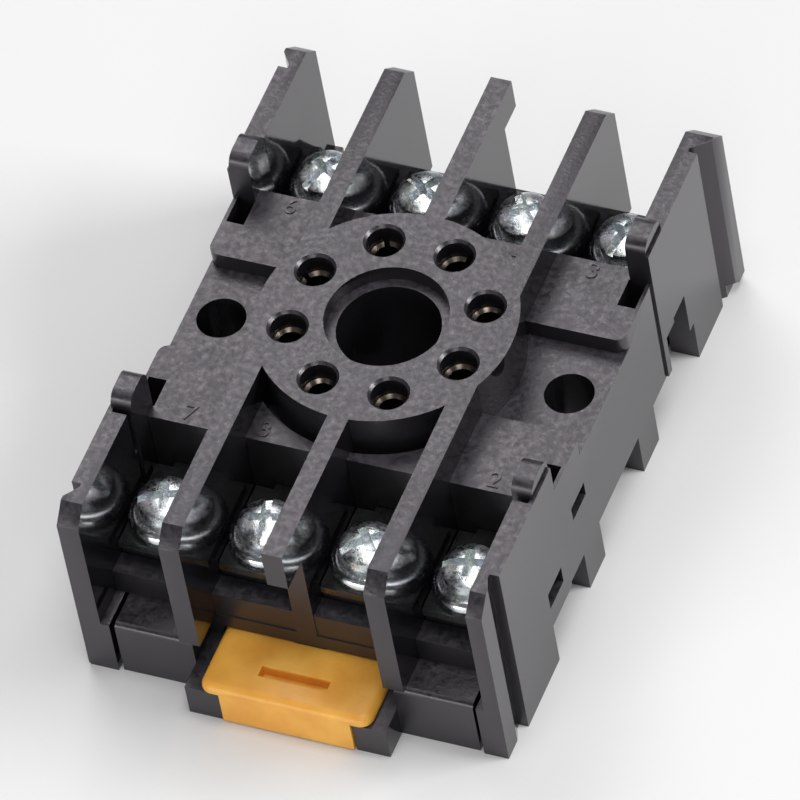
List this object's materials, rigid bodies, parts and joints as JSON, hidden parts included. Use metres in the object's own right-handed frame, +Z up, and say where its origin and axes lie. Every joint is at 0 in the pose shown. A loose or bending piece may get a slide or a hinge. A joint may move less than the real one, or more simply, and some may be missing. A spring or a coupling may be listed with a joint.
{
  "type": "relay socket",
  "caption": "Rail or panel mounted socket for a plug-in relay, with a raised disc of round pin holes, barrier ribs, screw terminals and a sliding rail latch.",
  "frame": {"origin": "on the axis of the plug bore, at the plane on which the socket stands", "axes": "+X across the ribs, +Y to the rear (away from the latch), +Z up, out of the plug face"},
  "size_m": [0.0409, 0.0596, 0.0225],
  "materials": {
    "black_plastic": "moulded, fine matte grain",
    "orange_plastic": "moulded, smooth",
    "spring_steel": "drawn wire",
    "contact_brass": "stamped and tinned dull",
    "zinc_screw": "bright zinc plate",
    "zinc_washer": "bright zinc plate"
  },
  "bodies": {
    "socket": {"upper_housing": "black_plastic", "base": "black_plastic", "latch_spring": "spring_steel", "contact_1": "contact_brass", "contact_2": "contact_brass", "contact_3": "contact_brass", "contact_4": "contact_brass", "contact_5": "contact_brass", "contact_6": "contact_brass", "contact_7": "contact_brass", "contact_8": "contact_brass"},
    "latch": {"rail_latch": "orange_plastic"},
    "clamp_1": {"clamp_washer_1": "zinc_washer"},
    "screw_1": {"terminal_screw_1": "zinc_screw"},
    "clamp_2": {"clamp_washer_2": "zinc_washer"},
    "screw_2": {"terminal_screw_2": "zinc_screw"},
    "clamp_3": {"clamp_washer_3": "zinc_washer"},
    "screw_3": {"terminal_screw_3": "zinc_screw"},
    "clamp_4": {"clamp_washer_4": "zinc_washer"},
    "screw_4": {"terminal_screw_4": "zinc_screw"},
    "clamp_5": {"clamp_washer_5": "zinc_washer"},
    "screw_5": {"terminal_screw_5": "zinc_screw"},
    "clamp_6": {"clamp_washer_6": "zinc_washer"},
    "screw_6": {"terminal_screw_6": "zinc_screw"},
    "clamp_7": {"clamp_washer_7": "zinc_washer"},
    "screw_7": {"terminal_screw_7": "zinc_screw"},
    "clamp_8": {"clamp_washer_8": "zinc_washer"},
    "screw_8": {"terminal_screw_8": "zinc_screw"}
  },
  "joints": [
    {"name": "latch_slide", "type": "slide", "parent": "socket", "child": "latch", "axis": [0, -1, 0], "range_m": [0, 0.0028], "stiffness_N_per_m": 600, "springref_m": -0.001, "deforming": ["latch_spring"]},
    {"name": "clamp_lift_1", "type": "slide", "parent": "socket", "child": "clamp_1", "axis": [0, 0, 1], "range_m": [0, 0.0024]},
    {"name": "screw_turn_1", "type": "hinge", "parent": "clamp_1", "child": "screw_1", "pos_m": [0.0048, -0.01935, 0.0129], "axis": [0, 0, 1], "range_deg": [0, 1440]},
    {"name": "clamp_lift_2", "type": "slide", "parent": "socket", "child": "clamp_2", "axis": [0, 0, 1], "range_m": [0, 0.0024]},
    {"name": "screw_turn_2", "type": "hinge", "parent": "clamp_2", "child": "screw_2", "pos_m": [0.01434, -0.01935, 0.0129], "axis": [0, 0, 1], "range_deg": [0, 1440]},
    {"name": "clamp_lift_3", "type": "slide", "parent": "socket", "child": "clamp_3", "axis": [0, 0, 1], "range_m": [0, 0.0024]},
    {"name": "screw_turn_3", "type": "hinge", "parent": "clamp_3", "child": "screw_3", "pos_m": [0.01434, 0.01935, 0.0129], "axis": [0, 0, 1], "range_deg": [0, 1440]},
    {"name": "clamp_lift_4", "type": "slide", "parent": "socket", "child": "clamp_4", "axis": [0, 0, 1], "range_m": [0, 0.0024]},
    {"name": "screw_turn_4", "type": "hinge", "parent": "clamp_4", "child": "screw_4", "pos_m": [0.0048, 0.01935, 0.0129], "axis": [0, 0, 1], "range_deg": [0, 1440]},
    {"name": "clamp_lift_5", "type": "slide", "parent": "socket", "child": "clamp_5", "axis": [0, 0, 1], "range_m": [0, 0.0024]},
    {"name": "screw_turn_5", "type": "hinge", "parent": "clamp_5", "child": "screw_5", "pos_m": [-0.0048, 0.01935, 0.0129], "axis": [0, 0, 1], "range_deg": [0, 1440]},
    {"name": "clamp_lift_6", "type": "slide", "parent": "socket", "child": "clamp_6", "axis": [0, 0, 1], "range_m": [0, 0.0024]},
    {"name": "screw_turn_6", "type": "hinge", "parent": "clamp_6", "child": "screw_6", "pos_m": [-0.01434, 0.01935, 0.0129], "axis": [0, 0, 1], "range_deg": [0, 1440]},
    {"name": "clamp_lift_7", "type": "slide", "parent": "socket", "child": "clamp_7", "axis": [0, 0, 1], "range_m": [0, 0.0024]},
    {"name": "screw_turn_7", "type": "hinge", "parent": "clamp_7", "child": "screw_7", "pos_m": [-0.01434, -0.01935, 0.0129], "axis": [0, 0, 1], "range_deg": [0, 1440]},
    {"name": "clamp_lift_8", "type": "slide", "parent": "socket", "child": "clamp_8", "axis": [0, 0, 1], "range_m": [0, 0.0024]},
    {"name": "screw_turn_8", "type": "hinge", "parent": "clamp_8", "child": "screw_8", "pos_m": [-0.0048, -0.01935, 0.0129], "axis": [0, 0, 1], "range_deg": [0, 1440]}
  ],
  "couplings": [
    {"joint": "screw_turn_1", "follows": "clamp_lift_1", "rad_per_m": 10472},
    {"joint": "screw_turn_2", "follows": "clamp_lift_2", "rad_per_m": 10472},
    {"joint": "screw_turn_3", "follows": "clamp_lift_3", "rad_per_m": 10472},
    {"joint": "screw_turn_4", "follows": "clamp_lift_4", "rad_per_m": 10472},
    {"joint": "screw_turn_5", "follows": "clamp_lift_5", "rad_per_m": 10472},
    {"joint": "screw_turn_6", "follows": "clamp_lift_6", "rad_per_m": 10472},
    {"joint": "screw_turn_7", "follows": "clamp_lift_7", "rad_per_m": 10472},
    {"joint": "screw_turn_8", "follows": "clamp_lift_8", "rad_per_m": 10472}
  ]
}
